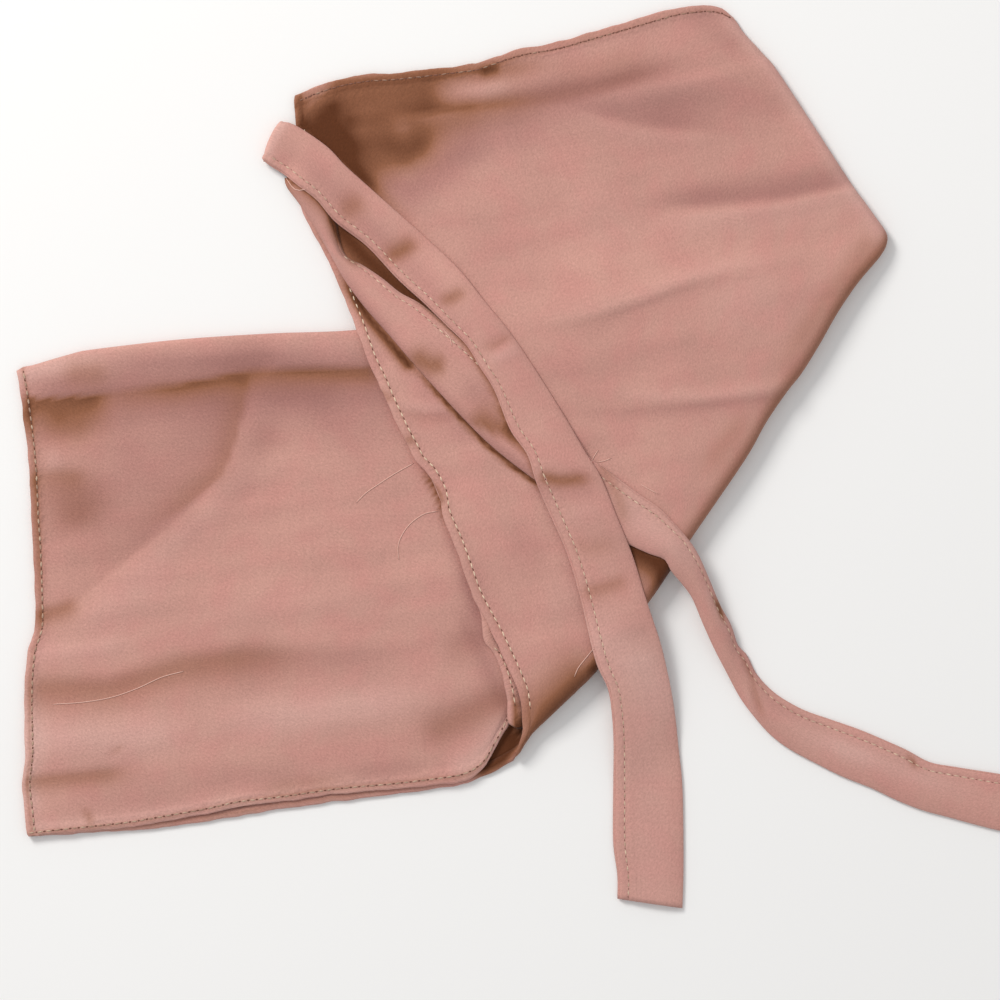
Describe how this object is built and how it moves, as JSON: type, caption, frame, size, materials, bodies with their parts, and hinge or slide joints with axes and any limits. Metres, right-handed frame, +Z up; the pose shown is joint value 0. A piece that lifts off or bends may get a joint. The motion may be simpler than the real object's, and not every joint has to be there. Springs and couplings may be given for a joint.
{
  "type": "folded half niqab",
  "caption": "Half niqab of plain dusty-rose chiffon, folded in half, turned over on a diagonal and laid flat, with its cloth ties led across it",
  "frame": {"origin": "the middle of the footprint, on the surface that the cloth lies on", "axes": "+Z up out of the cloth, +X along the picture's horizontal to its right, +Y along the picture's vertical to its top"},
  "size_m": [0.4097, 0.361, 0.0142],
  "materials": {
    "veil_chiffon": "matt dusty-rose crepe chiffon",
    "tie_chiffon": "the same chiffon, folded and topstitched"
  },
  "bodies": {
    "root": {"veil_wing": "veil_chiffon", "veil_over": "veil_chiffon", "tie_upper": "tie_chiffon", "tie_lower": "tie_chiffon"}
  },
  "joints": []
}
